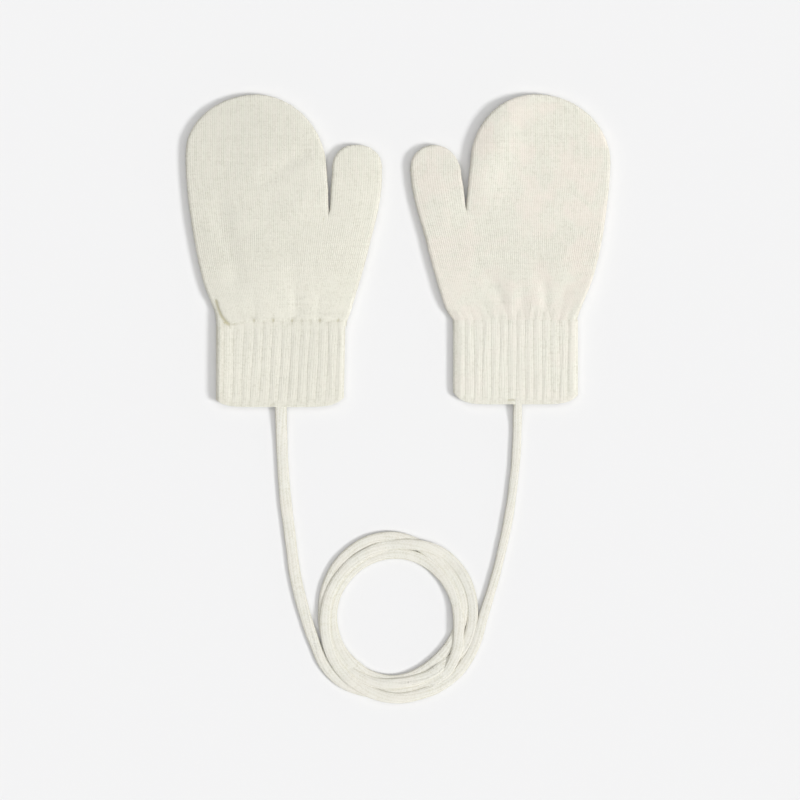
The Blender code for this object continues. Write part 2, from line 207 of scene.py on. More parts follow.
# How much wider it lies on the left run, the coil and the right run, and where that changes
CORD_SPREADS = (0.08, 0.05, -0.17)
CORD_RUN_ENDS = (90, 120)
LEFT_HEM_CLIMB = 1.3  # how far it rises towards the left hem
LEFT_HEM_SLOPE = (-88.0, -70.0)
LEFT_ROOT = [(-52.7, -67.6, 2.55), (-52.65, -69.2, 2.52)]
RIGHT_HEM_CLIMB = 1.7  # and to pass over the right hem
RIGHT_HEM_SLOPE = (-80.0, -69.0)
RIGHT_ROOT = [(53.75, -68.0, 3.35), (53.8, -66.6, 3.6), (53.85, -65.2, 3.3)]
COIL_STEP = 3.0  # degrees between the coil's points before it settles
CORD_RING_STEP = 0.85
LAYER_RISE = 1.7  # from one layer of the coil to the next
CORD_TOUCH = 0.80 * CORD_DIAMETER
CORD_GIVE = 0.80  # how much of its height is left where one turn lies on another

# How the cord is laid to rest, in small rounds
SETTLE_SPACING = 1.9
SETTLE_NEIGHBOURS = 8  # points closer along the cord than this many don't press each other
SETTLE_OVER = 0.15  # how much of a layer's rise puts one turn over another
SETTLE_ROUNDS = 140
SETTLE_PUSH = 0.3
SETTLE_PULL = 0.14
SETTLE_SINK = 0.06
SETTLE_SMOOTH = 0.3

# Wool
PAINTED_SHADE_TONE = (0.560, 0.525, 0.360, 1)
CREST_RANGE = (-0.30, 0.95)  # of the crests, from the groove's darker colour of painted shade to the light one
CREASE_RANGE = (-0.25, -1.6)  # of the relief, from that colour to the painted shade tone of creases and turned sides
BLUSH_RANGE = (0.38, 0.66)
PATCH_RANGE = (0.35, 0.70)
PATCH_SHARE = 0.28
PATCH_TONE = 0.93
DIM_WAY = (0.86, 0.50)  # the way down and to the right along which the tone changes
LEG_FALL = 3.2
LEG_LEAN = 1.7
LEG_LOW = 0.35
RELIEF_SHARE = 0.75
FIBRE_NOISE = (2600.0, 3.0, 0.6)  # scale, detail and roughness
FLUFF_NOISE = (950.0, 3.0, 0.65)
PATCH_NOISE = (60.0, 3.0)
BLUSH_NOISE = (105.0, 2.0)
STREAK_NOISE = (1.0, 2.0)
STREAK_STRETCH = (0.9, 0.07, 0.0)  # for each wale and course: long along the wales
BAND_STRETCH = (0.03, 0.8, 0.0)  # and long across them
OWN_SHARE = 0.5  # how much each stitch differs from the next
BAND_SHARE = 0.8  # how strong the bands are beside the streaks
STITCH_BUMP = (0.00022, 0.70)  # height in metres, and strength
FLUFF_BUMP = (0.00034, 0.45)
FIBRE_BUMP = (0.00012, 0.55)
WOOL_SURFACE = {
    "Roughness": 0.92,
    "Specular IOR Level": 0.20,
    "Diffuse Roughness": 1.0,
    "Sheen Weight": 0.08,
    "Sheen Roughness": 0.45,
    "Sheen Tint": (1.0, 0.98, 0.93, 1.0),
}
# The wool of each piece: its colours on the crests, in the grooves and where it blushes, how strongly
# it blushes, how much stitches, fluff and streaks show, and a slow change of tone or none: how much
# darker it gets, and the places in metres on its way where it begins and ends. The groove colour is
# shade painted into the grooves and between the stitch legs, and the wool's own uneven tone where the
# grains run low
Wool = namedtuple("Wool", "light groove pink blush stitched fluffy streaky dim")
WOOLS = {
    "cord_wool": Wool((0.812, 0.804, 0.750, 1), (0.680, 0.663, 0.572, 1), (0.826, 0.790, 0.730, 1),
                      0.30, 1.2, 1.0, 0.15, None),
    "left_hand_wool": Wool((0.832, 0.820, 0.742, 1), (0.670, 0.655, 0.570, 1), (0.836, 0.814, 0.740, 1),
                           0.30, 0.35, 1.2, 1.1, (0.080, -0.092, -0.014)),
    "right_hand_wool": Wool((0.838, 0.826, 0.752, 1), (0.680, 0.665, 0.582, 1), (0.862, 0.796, 0.736, 1),
                            0.50, 0.35, 1.1, 1.1, (0.034, -0.004, 0.022)),
    "left_cuff_wool": Wool((0.800, 0.788, 0.714, 1), (0.655, 0.640, 0.555, 1), (0.804, 0.782, 0.712, 1),
                           0.30, 0.35, 1.5, 0.8, None),
    "right_cuff_wool": Wool((0.836, 0.826, 0.754, 1), (0.690, 0.675, 0.590, 1), (0.850, 0.800, 0.744, 1),
                            0.30, 0.35, 1.5, 0.8, None),
}

Section = namedtuple("Section", "height little thumb thick")
Slit = namedtuple("Slit", "height hand thumb")
Tip = namedtuple("Tip", "x height low_shoulder high_shoulder fullness")
# A soft fold from one end to the other: a trough where its height is negative
Fold = namedtuple("Fold", "x0 h0 x1 h1 height width")
Cuff = namedtuple("Cuff", "little thumb little_hem thumb_hem drop little_rise thumb_rise first pitch lean "
                  "little_edge thumb_edge roll")
# How the hand meets the cuff: how much of their height the ribs have there, how far they run up into
# the hand, and a line on which the hand puffs out over the cuff, or none
Wrist = namedtuple("Wrist", "rib_share flute_low flute_high puff_line puff_height")
# A crease pressed into the knit, with shade painted darker along it: a line of points, its depth and half
# its width
Crease = namedtuple("Crease", "line depth width")
Mitten = namedtuple("Mitten", "side wrist sections slit hand_tip thumb_tip folds lifts creases cuff joint")

LEFT = Mitten(
    side=1,
    wrist=(-52.3, -32.0),
    sections=[
        Section(0, -29.3, 29.2, 5.0),
        Section(4, -29.9, 30.8, 5.0),
        Section(8, -31.3, 32.0, 5.0),
        Section(16, -34.5, 34.4, 4.8),
        Section(26, -37.1, 37.3, 4.7),
        Section(38, -39.4, 40.3, 4.6),
        Section(50, -41.3, 43.3, 4.6),
        Section(60, -42.4, 44.8, 4.5),
        Section(70, -43.0, 45.1, 4.5),
        Section(76, -43.1, 45.2, 4.4),
    ],
    slit=[
        Slit(49.5, 21.35, 21.35),
        Slit(52.5, 21.1, 21.75),
        Slit(59.4, 20.9, 22.1),
        Slit(64.4, 20.5, 22.5),
        Slit(69.3, 20.1, 22.8),
    ],
    hand_tip=Tip(-11.6, 102.2, 76.0, 68.4, 1.95),
    thumb_tip=Tip(33.4, 79.6, 69.3, 69.3, 2.15),
    folds=[
        Fold(-27.8, 51.3, -20.2, 21.6, -1.1, 4.5),
        Fold(3.7, 25.6, 7.7, 6.7, -0.5, 3.5),
        Fold(-8.0, 67.0, 6.0, 60.3, -0.45, 3.5),
        Fold(9.5, 75.0, -6.6, 64.0, -1.0, 3.2),
        Fold(5.9, 12.0, 6.0, 1.5, -0.34, 1.5),
        Fold(-12.5, 12.0, -12.0, 2.0, -0.26, 1.7),
        Fold(17.0, 10.6, 16.4, 1.5, -0.26, 1.5),
        Fold(11.4, 9.0, 11.2, 2.0, 0.16, 1.6),
    ],
    lifts=[],
    creases=[
        Crease([(-29.2, 9.4), (-28.2, 5.7), (-26.6, 2.2), (-24.9, 0.2), (-23.4, -1.2)], 1.0, 0.90),
        Crease([(-23.4, -1.2), (-20.0, -0.8), (-17.6, -0.5), (-16.4, 0.4)], 0.60, 0.50),
        Crease([(18.6, 46.9), (18.9, 45.9)], 0.8, 0.35),
        Crease([(-4.8, -37.5), (-3.5, -36.9)], 0.55, 0.55),
    ],
    cuff=Cuff(-29.2, 28.7, -29.3, 28.0, 38.2, 3.2, 4.2, 3.4, 4.23, 2.0, 2.2, 2.4, 1.3),
    joint=Wrist(0.20, 1.5, 3.5, [(-29.6, 9.6), (-27.8, 5.0), (-26.4, 2.7), (-25.1, 0.9), (-23.4, -1.3),
                           (-16.5, -0.5), (-8.0, 0.1), (8.0, 0.3), (20.0, 0.2), (29.5, 0.6)], 0.22),
)

RIGHT = Mitten(
    side=-1,
    wrist=(52.7, -31.0),
    sections=[
        Section(0, -27.6, 28.0, 5.0),
        Section(4, -29.0, 30.8, 5.0),
        Section(8, -30.6, 32.4, 5.0),
        Section(16, -33.9, 34.9, 4.8),
        Section(26, -36.8, 37.8, 4.7),
        Section(38, -39.3, 40.8, 4.6),
        Section(50, -41.0, 44.3, 4.6),
        Section(60, -42.1, 46.4, 4.5),
        Section(70, -42.7, 47.3, 4.5),
        Section(76, -42.8, 47.5, 4.4),
    ],
    slit=[
        Slit(50.5, 22.2, 22.2),
        Slit(53.5, 21.9, 22.6),
        Slit(59.4, 21.3, 23.4),
        Slit(64.0, 20.9, 24.2),
        Slit(70.0, 20.2, 25.4),
    ],
    hand_tip=Tip(-9.0, 101.3, 70.2, 70.0, 2.0),
    thumb_tip=Tip(36.4, 78.5, 64.0, 68.4, 2.0),
    folds=[
        Fold(17.0, 25.0, 10.0, 14.0, -0.45, 3.6),
        Fold(-9.5, 25.0, -13.0, 14.0, -0.4, 3.3),
        Fold(1.5, 20.0, 0.5, 12.0, 0.25, 3.0),
        Fold(10.0, 17.5, 6.6, 9.0, -0.43, 2.38),
        Fold(6.6, 9.0, 3.4, 0.5, -0.43, 1.95),
        Fold(-2.6, 10.6, -4.2, 0.5, -0.43, 1.79),
        Fold(-12.9, 15.2, -13.8, 8.0, -0.43, 1.88),
        Fold(-13.8, 8.0, -15.6, 0.5, -0.46, 1.79),
        Fold(-1.7, 6.2, -0.4, 0.5, -0.37, 1.46),
        Fold(-8.9, 5.0, -8.0, 0.5, -0.31, 1.3),
        Fold(-13.4, 5.0, -11.9, 0.5, -0.24, 1.3),
        Fold(-21.8, 11.8, -19.6, 0.5, -0.41, 2.11),
        Fold(13.9, 5.6, 11.1, 0.5, -0.39, 1.62),
        Fold(18.2, 4.0, 15.0, 0.5, -0.32, 1.46),
        Fold(-26.6, 7.4, -23.4, 0.5, -0.22, 1.62),
        Fold(-32.0, 30.0, -24.0, 12.0, -0.58, 5.62),
        Fold(-8.0, 12.5, -8.3, 6.5, 0.36, 3.25),
        Fold(3.5, 14.0, 0.8, 7.5, 0.32, 3.0),
    ],
    lifts=[Fold(15.5, 64.0, 3.5, 92.0, 1.9, 8.5)],
    creases=[
        Crease([(3.3, 1.0), (4.6, 4.6)], 0.30, 0.35),
        Crease([(-4.2, 1.0), (-3.4, 5.0)], 0.32, 0.35),
        Crease([(-15.7, 1.0), (-14.6, 5.6)], 0.32, 0.35),
        Crease([(-0.4, 1.2), (-1.2, 4.0)], 0.24, 0.30),
        Crease([(11.1, 1.0), (12.8, 3.6)], 0.28, 0.35),
        Crease([(22.3, 49.0), (22.2, 48.0)], 0.5, 0.35),
        Crease([(3.0, -36.1), (0.8, -35.9)], 0.75, 0.45),
    ],
    cuff=Cuff(-28.1, 27.9, -28.1, 27.9, 38.0, 4.2, 5.4, 4.7, 3.83, 0.0, 2.4, 4.0, 0.0),
    joint=Wrist(0.85, 3.0, 6.0, [], 0.0),
)

# Route of the cord where it isn't coiled, from each cuff to the coil, as in the CAD
LEFT_ROUTE = [
    (-52.6, -70.6), (-52.4, -80.5), (-52.1, -90.5), (-51.5, -101.0), (-50.6, -112.0),
    (-49.2, -123.0), (-47.9, -133.5), (-46.5, -144.5), (-44.2, -155.0), (-41.2, -165.5),
    (-38.9, -172.5), (-36.4, -178.8),
]
RIGHT_ROUTE = [
    (53.7, -69.35), (53.6, -77.5), (53.4, -86.0), (52.8, -96.0), (51.6, -106.5),
    (50.1, -117.5), (48.0, -128.5), (45.6, -139.0), (42.7, -150.0), (40.1, -158.5),
    (37.9, -165.6),
]
# How the cord winds round the coil's middle, as degrees turned, radius, and the layer it lies in
Wind = namedtuple("Wind", "turned radius layer")
WINDS = [Wind(*row) for row in (
    (212, 37.9, 0.0), (225, 37.9, 0.0), (248, 35.7, 0.0), (270, 33.5, 0.0), (291, 33.4, 0.0),
    (305, 33.6, 0.4), (319, 33.2, 1.0), (332, 31.9, 1.0), (345, 29.9, 1.0), (360, 28.9, 1.0),
    (380, 28.7, 1.0), (405, 28.7, 0.8), (425, 29.0, 0.3), (440, 29.2, 0.0), (455, 29.0, 0.0),
    (495, 28.6, 0.0), (540, 28.5, 0.0), (575, 28.4, 0.0), (600, 28.4, 0.0), (630, 28.4, 0.0),
    (645, 27.9, 0.0), (660, 27.2, 0.0), (675, 27.1, 0.0), (690, 27.7, 0.0), (705, 28.9, 0.0),
    (720, 30.5, 0.0), (735, 31.4, 0.0), (765, 32.0, 0.0), (780, 33.0, 0.0), (795, 34.9, 0.0),
    (812, 36.4, 0.0), (855, 34.9, 0.0), (875, 33.4, 0.0), (900, 31.9, 0.0), (945, 31.5, 0.0),
    (960, 30.9, 0.4), (972, 30.6, 1.0), (990, 29.7, 1.0), (1005, 29.6, 1.0), (1020, 30.2, 1.0),
    (1033, 30.8, 0.9), (1050, 33.2, 0.2), (1065, 34.6, 0.0), (1080, 35.2, 0.0), (1125, 36.3, 0.0),
    (1140, 35.7, 0.9), (1155, 34.1, 1.0), (1170, 33.0, 0.7), (1215, 31.0, 0.7), (1235, 30.9, 1.0),
    (1260, 31.1, 1.0), (1305, 33.9, 1.0), (1332, 35.1, 1.0), (1352, 36.2, 0.8), (1371, 36.2, 0.4),
    (1395, 37.4, 0.0), (1415, 37.9, 0.0), (1430, 38.6, 0.0),
)]


def smooth(knots, values, at):
    """Smooth curve through a few values, by cubics that share their slopes."""
    knots, values, at = np.asarray(knots, float), np.asarray(values, float), np.asarray(at, float)
    slopes = np.gradient(values, knots)
    cell = np.clip(np.searchsorted(knots, at) - 1, 0, len(knots) - 2)
    span = knots[cell + 1] - knots[cell]
    t = (at - knots[cell]) / span
    from_left = (1 + 2 * t) * (1 - t) ** 2 * values[cell] + t * (1 - t) ** 2 * span * slopes[cell]
    from_right = t ** 2 * (3 - 2 * t) * values[cell + 1] + t ** 2 * (t - 1) * span * slopes[cell + 1]
    return from_left + from_right


def column(rows, name):
    return [getattr(row, name) for row in rows]


def distance(points, line):
    """How far each point is from a line of points, taken row by row."""
    a, b = line[:-1], line[1:]
    run = b - a
    length = np.maximum((run ** 2).sum(1), 1e-12)
    found = []
    for row in points.reshape(-1, points.shape[-2], 2):
        t = np.clip(((row[:, None] - a) * run).sum(2) / length, 0, 1)
        nearest = a + t[..., None] * run
        found.append(np.sqrt(((row[:, None] - nearest) ** 2).sum(2)).min(1))
    return np.array(found).reshape(points.shape[:-1])


def rounded(depth, reach, power=2.0):
    """0 at an edge and 1 past its rounding: a quarter of a circle, or squarer with more power."""
    inward = 1 - np.clip(depth / reach, 0, 1)
    return (1 - inward ** power) ** (1 / power)


def step(value, low, high):
    """0 below low, 1 above high, and soft between them."""
    t = np.clip((value - low) / (high - low), 0, 1)
    return t * t * (3 - 2 * t)


def fold_height(points, folds):
    """Sum of the soft folds: each is a bell across its line and fades past its ends."""
    total = np.zeros(points.shape[:-1])
    for fold in folds:
        line = np.array([[fold.x0, fold.h0], [fold.x1, fold.h1]])
        total += fold.height * np.exp(-(distance(points, line) / fold.width) ** 2)
    return total


def crease_depth(points, creases):
    """How far each point lies in a crease, from 0 to the crease's own depth."""
    total = np.zeros(points.shape[:-1])
    for crease in creases:
        near = distance(points, np.array(crease.line))
        total = np.maximum(total, crease.depth * np.exp(-(near / crease.width) ** 2))
    return total


def ridge(wales):
    """Cross-section of plain knit: 0 in the grooves between wales and 1 on their crests."""
    return np.abs(np.sin(math.pi * wales)) ** WALE_ROUND


def waver(along, seed):
    """Small uneven ups and downs along a line, in steps of a few stitches, from about -1 to 1."""
    turns = np.random.default_rng(seed).uniform(*WAVER_TURNS, (WAVER_WAVES, 2))
    return sum(np.sin(turn * along + 6 * late) for turn, late in turns) / (WAVER_WAVES / 2)


def unevenness(x, y, seed):
    """Slow, slight ups and downs of soft cloth, from about -1 to 1."""
    waves = np.random.default_rng(seed).uniform(0, 1, (UNEVEN_WAVES, 3))
    shortest, longest = UNEVEN_SIZES
    total = np.zeros(np.broadcast(x, y).shape)
    for turn, length, phase in waves:
        angle = 2 * math.pi * turn
        size = shortest + (longest - shortest) * length
        along = x * math.cos(angle) + y * math.sin(angle)
        total += np.sin(along * 2 * math.pi / size + 7 * phase)
    return total / (UNEVEN_WAVES / 2)


def split_foot(mitten):
    """Where the line below the crotch meets the wrist, so that all wales are equally wide there."""
    little, thumb = mitten.sections[0].little, mitten.sections[0].thumb
    return little + (thumb - little) * HAND_WALES / (HAND_WALES + THUMB_WALES)


def lobe_edges(mitten, lobe, heights, inset):
    """x of the near and the far edge of the hand or of the thumb; above its shoulders they stay."""
    sections, slit = mitten.sections, mitten.slit
    crotch = slit[0]
    foot = split_foot(mitten)
    top = crotch.height - inset
    below = foot + (crotch.hand - foot) * np.clip(heights / top, 0, 1)
    pull = inset * np.clip((heights - top) / CROTCH_REACH, 0, 1)
    tip = mitten.hand_tip if lobe == "hand" else mitten.thumb_tip

    def outer(name, shoulder):
        return smooth(column(sections, "height"), column(sections, name), np.clip(heights, 0, shoulder))

    def inner(shoulder):
        up_the_slit = np.clip(heights, crotch.height, shoulder)
        return smooth(column(slit, "height"), column(slit, lobe), up_the_slit)

    if lobe == "hand":
        near = outer("little", tip.low_shoulder) + inset
        far = np.where(heights <= top, below, inner(tip.high_shoulder) - pull)
    else:
        near = np.where(heights <= top, below, inner(tip.low_shoulder) + pull)
        far = outer("thumb", tip.high_shoulder) - inset
    return near, far


def lobe_top(mitten, lobe, shares, inset):
    """Height at which each column ends on the round tip."""
    tip = mitten.hand_tip if lobe == "hand" else mitten.thumb_tip
    shoulders = np.array([tip.low_shoulder, tip.high_shoulder])
    near = lobe_edges(mitten, lobe, shoulders[:1], inset)[0]
    far = lobe_edges(mitten, lobe, shoulders[1:], inset)[1]
    x = near + shares * (far - near)
    low_side = x < tip.x
    reach = np.where(low_side, tip.x - near, far - tip.x)
    foot = np.where(low_side, *shoulders)
    fallen = np.clip(np.abs(x - tip.x) / reach, 0, 1) ** tip.fullness
    return foot + (tip.height - inset - foot) * (1 - fallen) ** (1 / tip.fullness)


def lobe_grid(mitten, lobe, inset, rows):
    """Points in rows from the wrist up and columns along the wales, with each column's wale number."""
    wales = HAND_WALES if lobe == "hand" else THUMB_WALES
    first = 0 if lobe == "hand" else HAND_WALES
    shares = np.linspace(0, 1, wales * COLUMNS_PER_WALE + 1)
    crotch = mitten.slit[0].height - inset
    seed = HAND_SEED + mitten.side + 5 * (lobe == "hand")
    up = np.linspace(0, 1, rows[0] + 1)
    low = -TUCK + (crotch + TUCK) * ((1 - ROW_SPREAD) * up + ROW_SPREAD * up ** 2)
    on = 1 - (1 - np.linspace(0, 1, rows[1] + 1)[1:]) ** TIP_SPREAD
    top = lobe_top(mitten, lobe, shares, inset) + EDGE_WAVER * waver(shares * wales, seed)
    high = crotch + on[:, None] * (top - crotch)
    heights = np.vstack([np.broadcast_to(low[:, None], (len(low), len(shares))), high])
    near, far = lobe_edges(mitten, lobe, heights, inset)

    # Both edges stray, apart from the one that the hand and the thumb share below the crotch
    stray = EDGE_WAVER * waver(heights, seed + 1) * step(heights, 0, STRAY_START)
    outward = np.where(shares < 0.5, -1, 1) * np.abs(2 * shares - 1) ** STRAY_FALL
    shared = shares > 0.5 if lobe == "hand" else shares < 0.5
    outward = np.where(shared & (heights < crotch + STRAY_CLEAR), 0, outward)
    grid = np.stack([near + shares * (far - near) + outward * stray, heights], axis=-1)
    return grid, np.broadcast_to(first + shares * wales, heights.shape)


def hand_grids(mitten, inset, rows):
    """The grids of the hand and of the thumb, with the wales and the depth inside the outline."""
    grids = [lobe_grid(mitten, lobe, inset, rows) for lobe in ("hand", "thumb")]
    (hand, _), (thumb, _) = grids
    below = rows[0]
    outline = np.vstack([hand[:, 0], hand[-1], hand[below:, -1][::-1],
                         thumb[below:, 0], thumb[-1], thumb[:, -1][::-1]])
    depths = [distance(grid, outline) for grid, _ in grids]
    depths[0][:, 0] = depths[0][-1] = depths[1][:, -1] = depths[1][-1] = 0
    depths[0][below:, -1] = depths[1][below:, 0] = 0
    return [(grid, wales, depth) for (grid, wales), depth in zip(grids, depths)]


def rib_phase(cuff, x):
    """Number of ribs from the first groove, at the wrist seam."""
    width = cuff.thumb - cuff.little
    share = np.clip((x - cuff.little) / width, 0, 1)
    shifted = x - cuff.lean / 2 * np.sin(math.pi * share) ** LEAN_ROUND
    return (shifted - cuff.little - cuff.first) / cuff.pitch


def rib_profile(phase):
    """Height of the ribs, from 0 in the grooves to 1 on the crests."""
    return np.abs(np.sin(math.pi * phase)) ** RIB_ROUND


def rolled(cuff, x, depth):
    """How much higher the cuff stands along its side at the little finger."""
    return cuff.roll * np.exp(-(depth / ROLL_REACH) ** 2) * (x < 0)


def puffed(mitten, grid):
    """How fully the hand stands out over the cuff: 0 below its puff line, 1 well above it."""
    line = np.array(mitten.joint.puff_line)
    level = np.interp(grid[..., 0], line[:, 0], line[:, 1])
    near = distance(grid, line)
    return rounded(np.where(grid[..., 1] > level, near, 0), PUFF_REACH), near


def fluted(joint, heights, phase):
    """How closely the hand follows the ribs: 1 at the wrist, and less above, each rib to its height."""
    own = 0.5 + 0.5 * np.sin(FLUTE_TURN * np.round(phase) + 1.0)
    reach = joint.flute_low + (joint.flute_high - joint.flute_low) * own
    return np.exp(-(np.clip(heights, 0, None) / reach) ** FLUTE_FALL)


def seam_creases(grid, phase):
    """The crease where a puffed hand meets the cuff: a faint line, and a dimple over each groove."""
    heights = grid[..., 1]
    own = 0.55 + 0.45 * np.sin(DIMPLE_TURN * np.round(phase) + 0.6)
    tall = 0.8 + 0.5 * own
    dimples = (1 - rib_profile(phase)) ** DIMPLE_ROUND * np.exp(-((heights - 0.6 * own) / tall) ** 2)
    seam = SEAM_LINE * np.exp(-((heights - SEAM_LINE_HEIGHT) / SEAM_LINE_WIDTH) ** 2)
    depth = DIMPLE_DEPTH + DIMPLE_MORE * own
    return depth * np.maximum(dimples, seam) * step(grid[..., 0], *DIMPLE_START)


def hand_layer(mitten, inset, grid, wales, depth, upper):
    """Heights and relief of one layer of the hand, on one side of its wall."""
    heights = grid[..., 1]
    thick = smooth(column(mitten.sections, "height"), column(mitten.sections, "thick"),
                   np.clip(heights, 0, mitten.sections[-1].height))
    bulge = rounded(depth, HAND_EDGE - inset * EDGE_TIGHTENING, EDGE_SQUARENESS)
    half = (thick / 2 - inset) * bulge
    lift = fold_height(grid, mitten.lifts)
    grooves = (1 - ridge(wales)) * (WRIST_WALES + (1 - WRIST_WALES) * step(heights, *WALES_DEEPEN))
    # Painted shade: the relief that colours the knit is low in the wales' grooves and lower still on the
    # turned sides
    relief = 1 - grooves - SIDE_SHADE * (1 - step(depth, 0, SIDE_REACH))
    tuck = TUCK_DEPTH * step(-heights, 0, TUCK_START)
    if not upper:
        z = thick / 2 - half + lift
        if inset == 0:
            uneven = UNEVEN_BELOW * (1 + unevenness(*np.moveaxis(grid, -1, 0), UNDERSIDE_SEED))
            z += bulge * (WALE_RELIEF * grooves + uneven) + tuck
        return z, relief
    crown = HAND_CROWN * (WRIST_CROWN + (1 - WRIST_CROWN) * step(heights, 0, CROWN_RISE))
    fullness = crown * rounded(depth + inset, CROWN_REACH) + fold_height(grid, mitten.folds)
    fullness += UNEVEN_ABOVE * unevenness(grid[..., 0], heights, UPPER_SEED + mitten.side)
    z = thick / 2 + half + bulge * fullness + lift
    if inset:
        return z, relief

    # Towards the wrist the hand takes the shape of the cuff's ribs
    cuff, joint = mitten.cuff, mitten.joint
    phase = rib_phase(cuff, grid[0, :, 0])
    edge_bulge = rounded(depth, np.where(grid[..., 0] < 0, cuff.little_edge, cuff.thumb_edge))
    roll = rolled(cuff, grid[..., 0], depth) * (1 - step(heights, 0, ROLL_TOP))
    rib_height = RIB_HEIGHT * joint.rib_share * rib_profile(phase)
    cuff_z = CUFF_THICK / 2 * (1 + edge_bulge) + (rib_height + roll) * edge_bulge
    crease = crease_depth(grid, mitten.creases)
    if joint.puff_line:
        swell, near = puffed(mitten, grid)
        z += joint.puff_height * np.exp(-(near / PUFF_WIDTH) ** 2) * bulge
        z = cuff_z + (z - cuff_z) * swell
        crease = np.maximum(crease, seam_creases(grid, phase))
    else:
        z = z + (cuff_z - z) * fluted(joint, heights, phase)
    z -= tuck + (CREASE_DEPTH * crease + WALE_RELIEF * grooves) * bulge
    # Creases and the seam's dimples paint shade into the colour as well
    return z, relief - CREASE_SHADE * crease


def tagged(mitten, grid, z, wales, relief):
    """Points of a grid in metres, in the world, and their knit coordinates."""
    x = grid[..., 0] * mitten.side + mitten.wrist[0]
    y = grid[..., 1] + mitten.wrist[1]
    points = np.stack([x, y, z], axis=-1) * MM
    return points, np.stack([wales, grid[..., 1] / COURSE, relief], axis=-1)


def knit_mesh(name, grids, material):
    """One object from grids of points, welded where their borders meet."""
    points, tags, faces, count = [], [], [], 0
    for grid, tag in grids:
        rows, columns = grid.shape[:2]
        index = count + np.arange(rows * columns).reshape(rows, columns)
        corners = [index[:-1, :-1], index[:-1, 1:], index[1:, 1:], index[1:, :-1]]
        faces.append(np.stack(corners, axis=-1).reshape(-1, 4))
        points.append(grid.reshape(-1, 3))
        tags.append(tag.reshape(-1, 3))
        count += rows * columns
    data = bpy.data.meshes.new(name)
    data.from_pydata(np.vstack(points), [], np.vstack(faces))
    knit = data.attributes.new("knit", "FLOAT_VECTOR", "POINT")
    knit.data.foreach_set("vector", np.vstack(tags).astype(np.float32).ravel())
    mesh = bmesh.new()
    mesh.from_mesh(data)
    bmesh.ops.remove_doubles(mesh, verts=mesh.verts, dist=WELD * MM)
    bmesh.ops.dissolve_degenerate(mesh, edges=mesh.edges, dist=SHORTEST_EDGE * MM)
    bmesh.ops.recalc_face_normals(mesh, faces=mesh.faces)
    mesh.to_mesh(data)
    mesh.free()
    data.shade_smooth()
    data.set_sharp_from_angle(angle=math.radians(SHARP_ANGLE))
    data.materials.append(material)
    item = bpy.data.objects.new(name, data)
    bpy.context.scene.collection.objects.link(item)
    return item


def build_hand(name, mitten, material):
    """Hollow knitted hand with its thumb, a wall all round that is open at the wrist."""
    grids, rims = [], []
    for inset, rows in ((0.0, ROWS_HAND), (HAND_WALL, ROWS_HAND_INSIDE)):
        for grid, wales, depth in hand_grids(mitten, inset, rows):
            for upper in (True, False):
                z, relief = hand_layer(mitten, inset, grid, wales, depth, upper)
                points, tag = tagged(mitten, grid, z, wales, relief)
                grids.append((points, tag))
                rims.append((points[0], tag[0]))
    for outer, inner in zip(rims[:4], rims[4:]):
        grids.append((np.stack([outer[0], inner[0]]), np.stack([outer[1], inner[1]])))
    return knit_mesh(name, grids, material)


def cuff_columns(cuff):
    """Places across the cuff from edge to edge, a few for each wale of its ribs."""
    width = cuff.thumb - cuff.little
    ribs = int((width - 2 * cuff.first) / cuff.pitch + 0.5)
    per_rib = WALES_PER_RIB * COLUMNS_PER_CUFF_WALE
    inner = cuff.first + np.arange(ribs * per_rib + 1) * cuff.pitch / per_rib
    t = np.linspace(0, 1, COLUMNS_CUFF_EDGE + 1)[:-1] ** EDGE_COLUMN_SPREAD
    return np.concatenate([cuff.first * t, inner, width - (width - inner[-1]) * t[::-1]]) / width


def cuff_grid(cuff, shares, rows, inset):
    """Grid over the cuff from its wrist end to the hem, inset at its two sides."""
    width = cuff.thumb - cuff.little
    squeezed = (inset + shares * (width - 2 * inset)) / width
    down = np.linspace(0, 1, rows + 1)[:, None]
    down = 1 - (1 - down) ** HEM_ROW_SPREAD
    corner = np.abs(2 * squeezed - 1) ** HEM_CORNER
    rise = np.where(squeezed < 0.5, cuff.little_rise, cuff.thumb_rise)
    hem_x = cuff.little_hem + (cuff.thumb_hem - cuff.little_hem) * squeezed
    hem = np.column_stack([hem_x, -cuff.drop + rise * corner])
    top = np.column_stack([cuff.little + width * squeezed, np.full(len(shares), -SEAM)])
    grid = (1 - down[..., None]) * top + down[..., None] * hem
    grid[..., 0] += cuff.lean * (0.5 - down) * np.sin(math.pi * squeezed) ** LEAN_ROUND
    from_hem = grid[..., 1] - hem[:, 1]
    depth = np.broadcast_to(np.minimum(squeezed, 1 - squeezed) * width, grid.shape[:-1])
    return grid, depth, squeezed * width, from_hem


def cuff_draws(cuff, side):
    """What differs by chance, from one seed: each rib's size and waver, and how the ribs stray."""
    rng = np.random.default_rng(CUFF_SEED + side)
    ribs = int((cuff.thumb - cuff.little) / cuff.pitch) + 3
    sizes = rng.uniform(*RIB_SIZES, ribs)
    wavers = rng.uniform(0, 7, ribs)
    strays = rng.uniform(*WANDER_SPEEDS, (WANDER_WAVES, 3))
    return sizes, wavers, strays


def wandered(grid, depth, phase, strays):
    """The cuff's grid with its ribs strayed a little sideways, but not at its sides or at the wrist."""
    heights = grid[..., 1]
    stray = sum(np.sin(WANDER_TURN * wide * k * phase + high * heights / WANDER_LENGTH + 5 * late * k)
                for k, (wide, high, late) in enumerate(strays, 1))
    inside = step(depth, *WANDER_SIDES) * step(-heights, 0, WANDER_WRIST)
    return grid + np.stack([RIB_WANDER / 2 * stray * inside, 0 * stray], axis=-1)


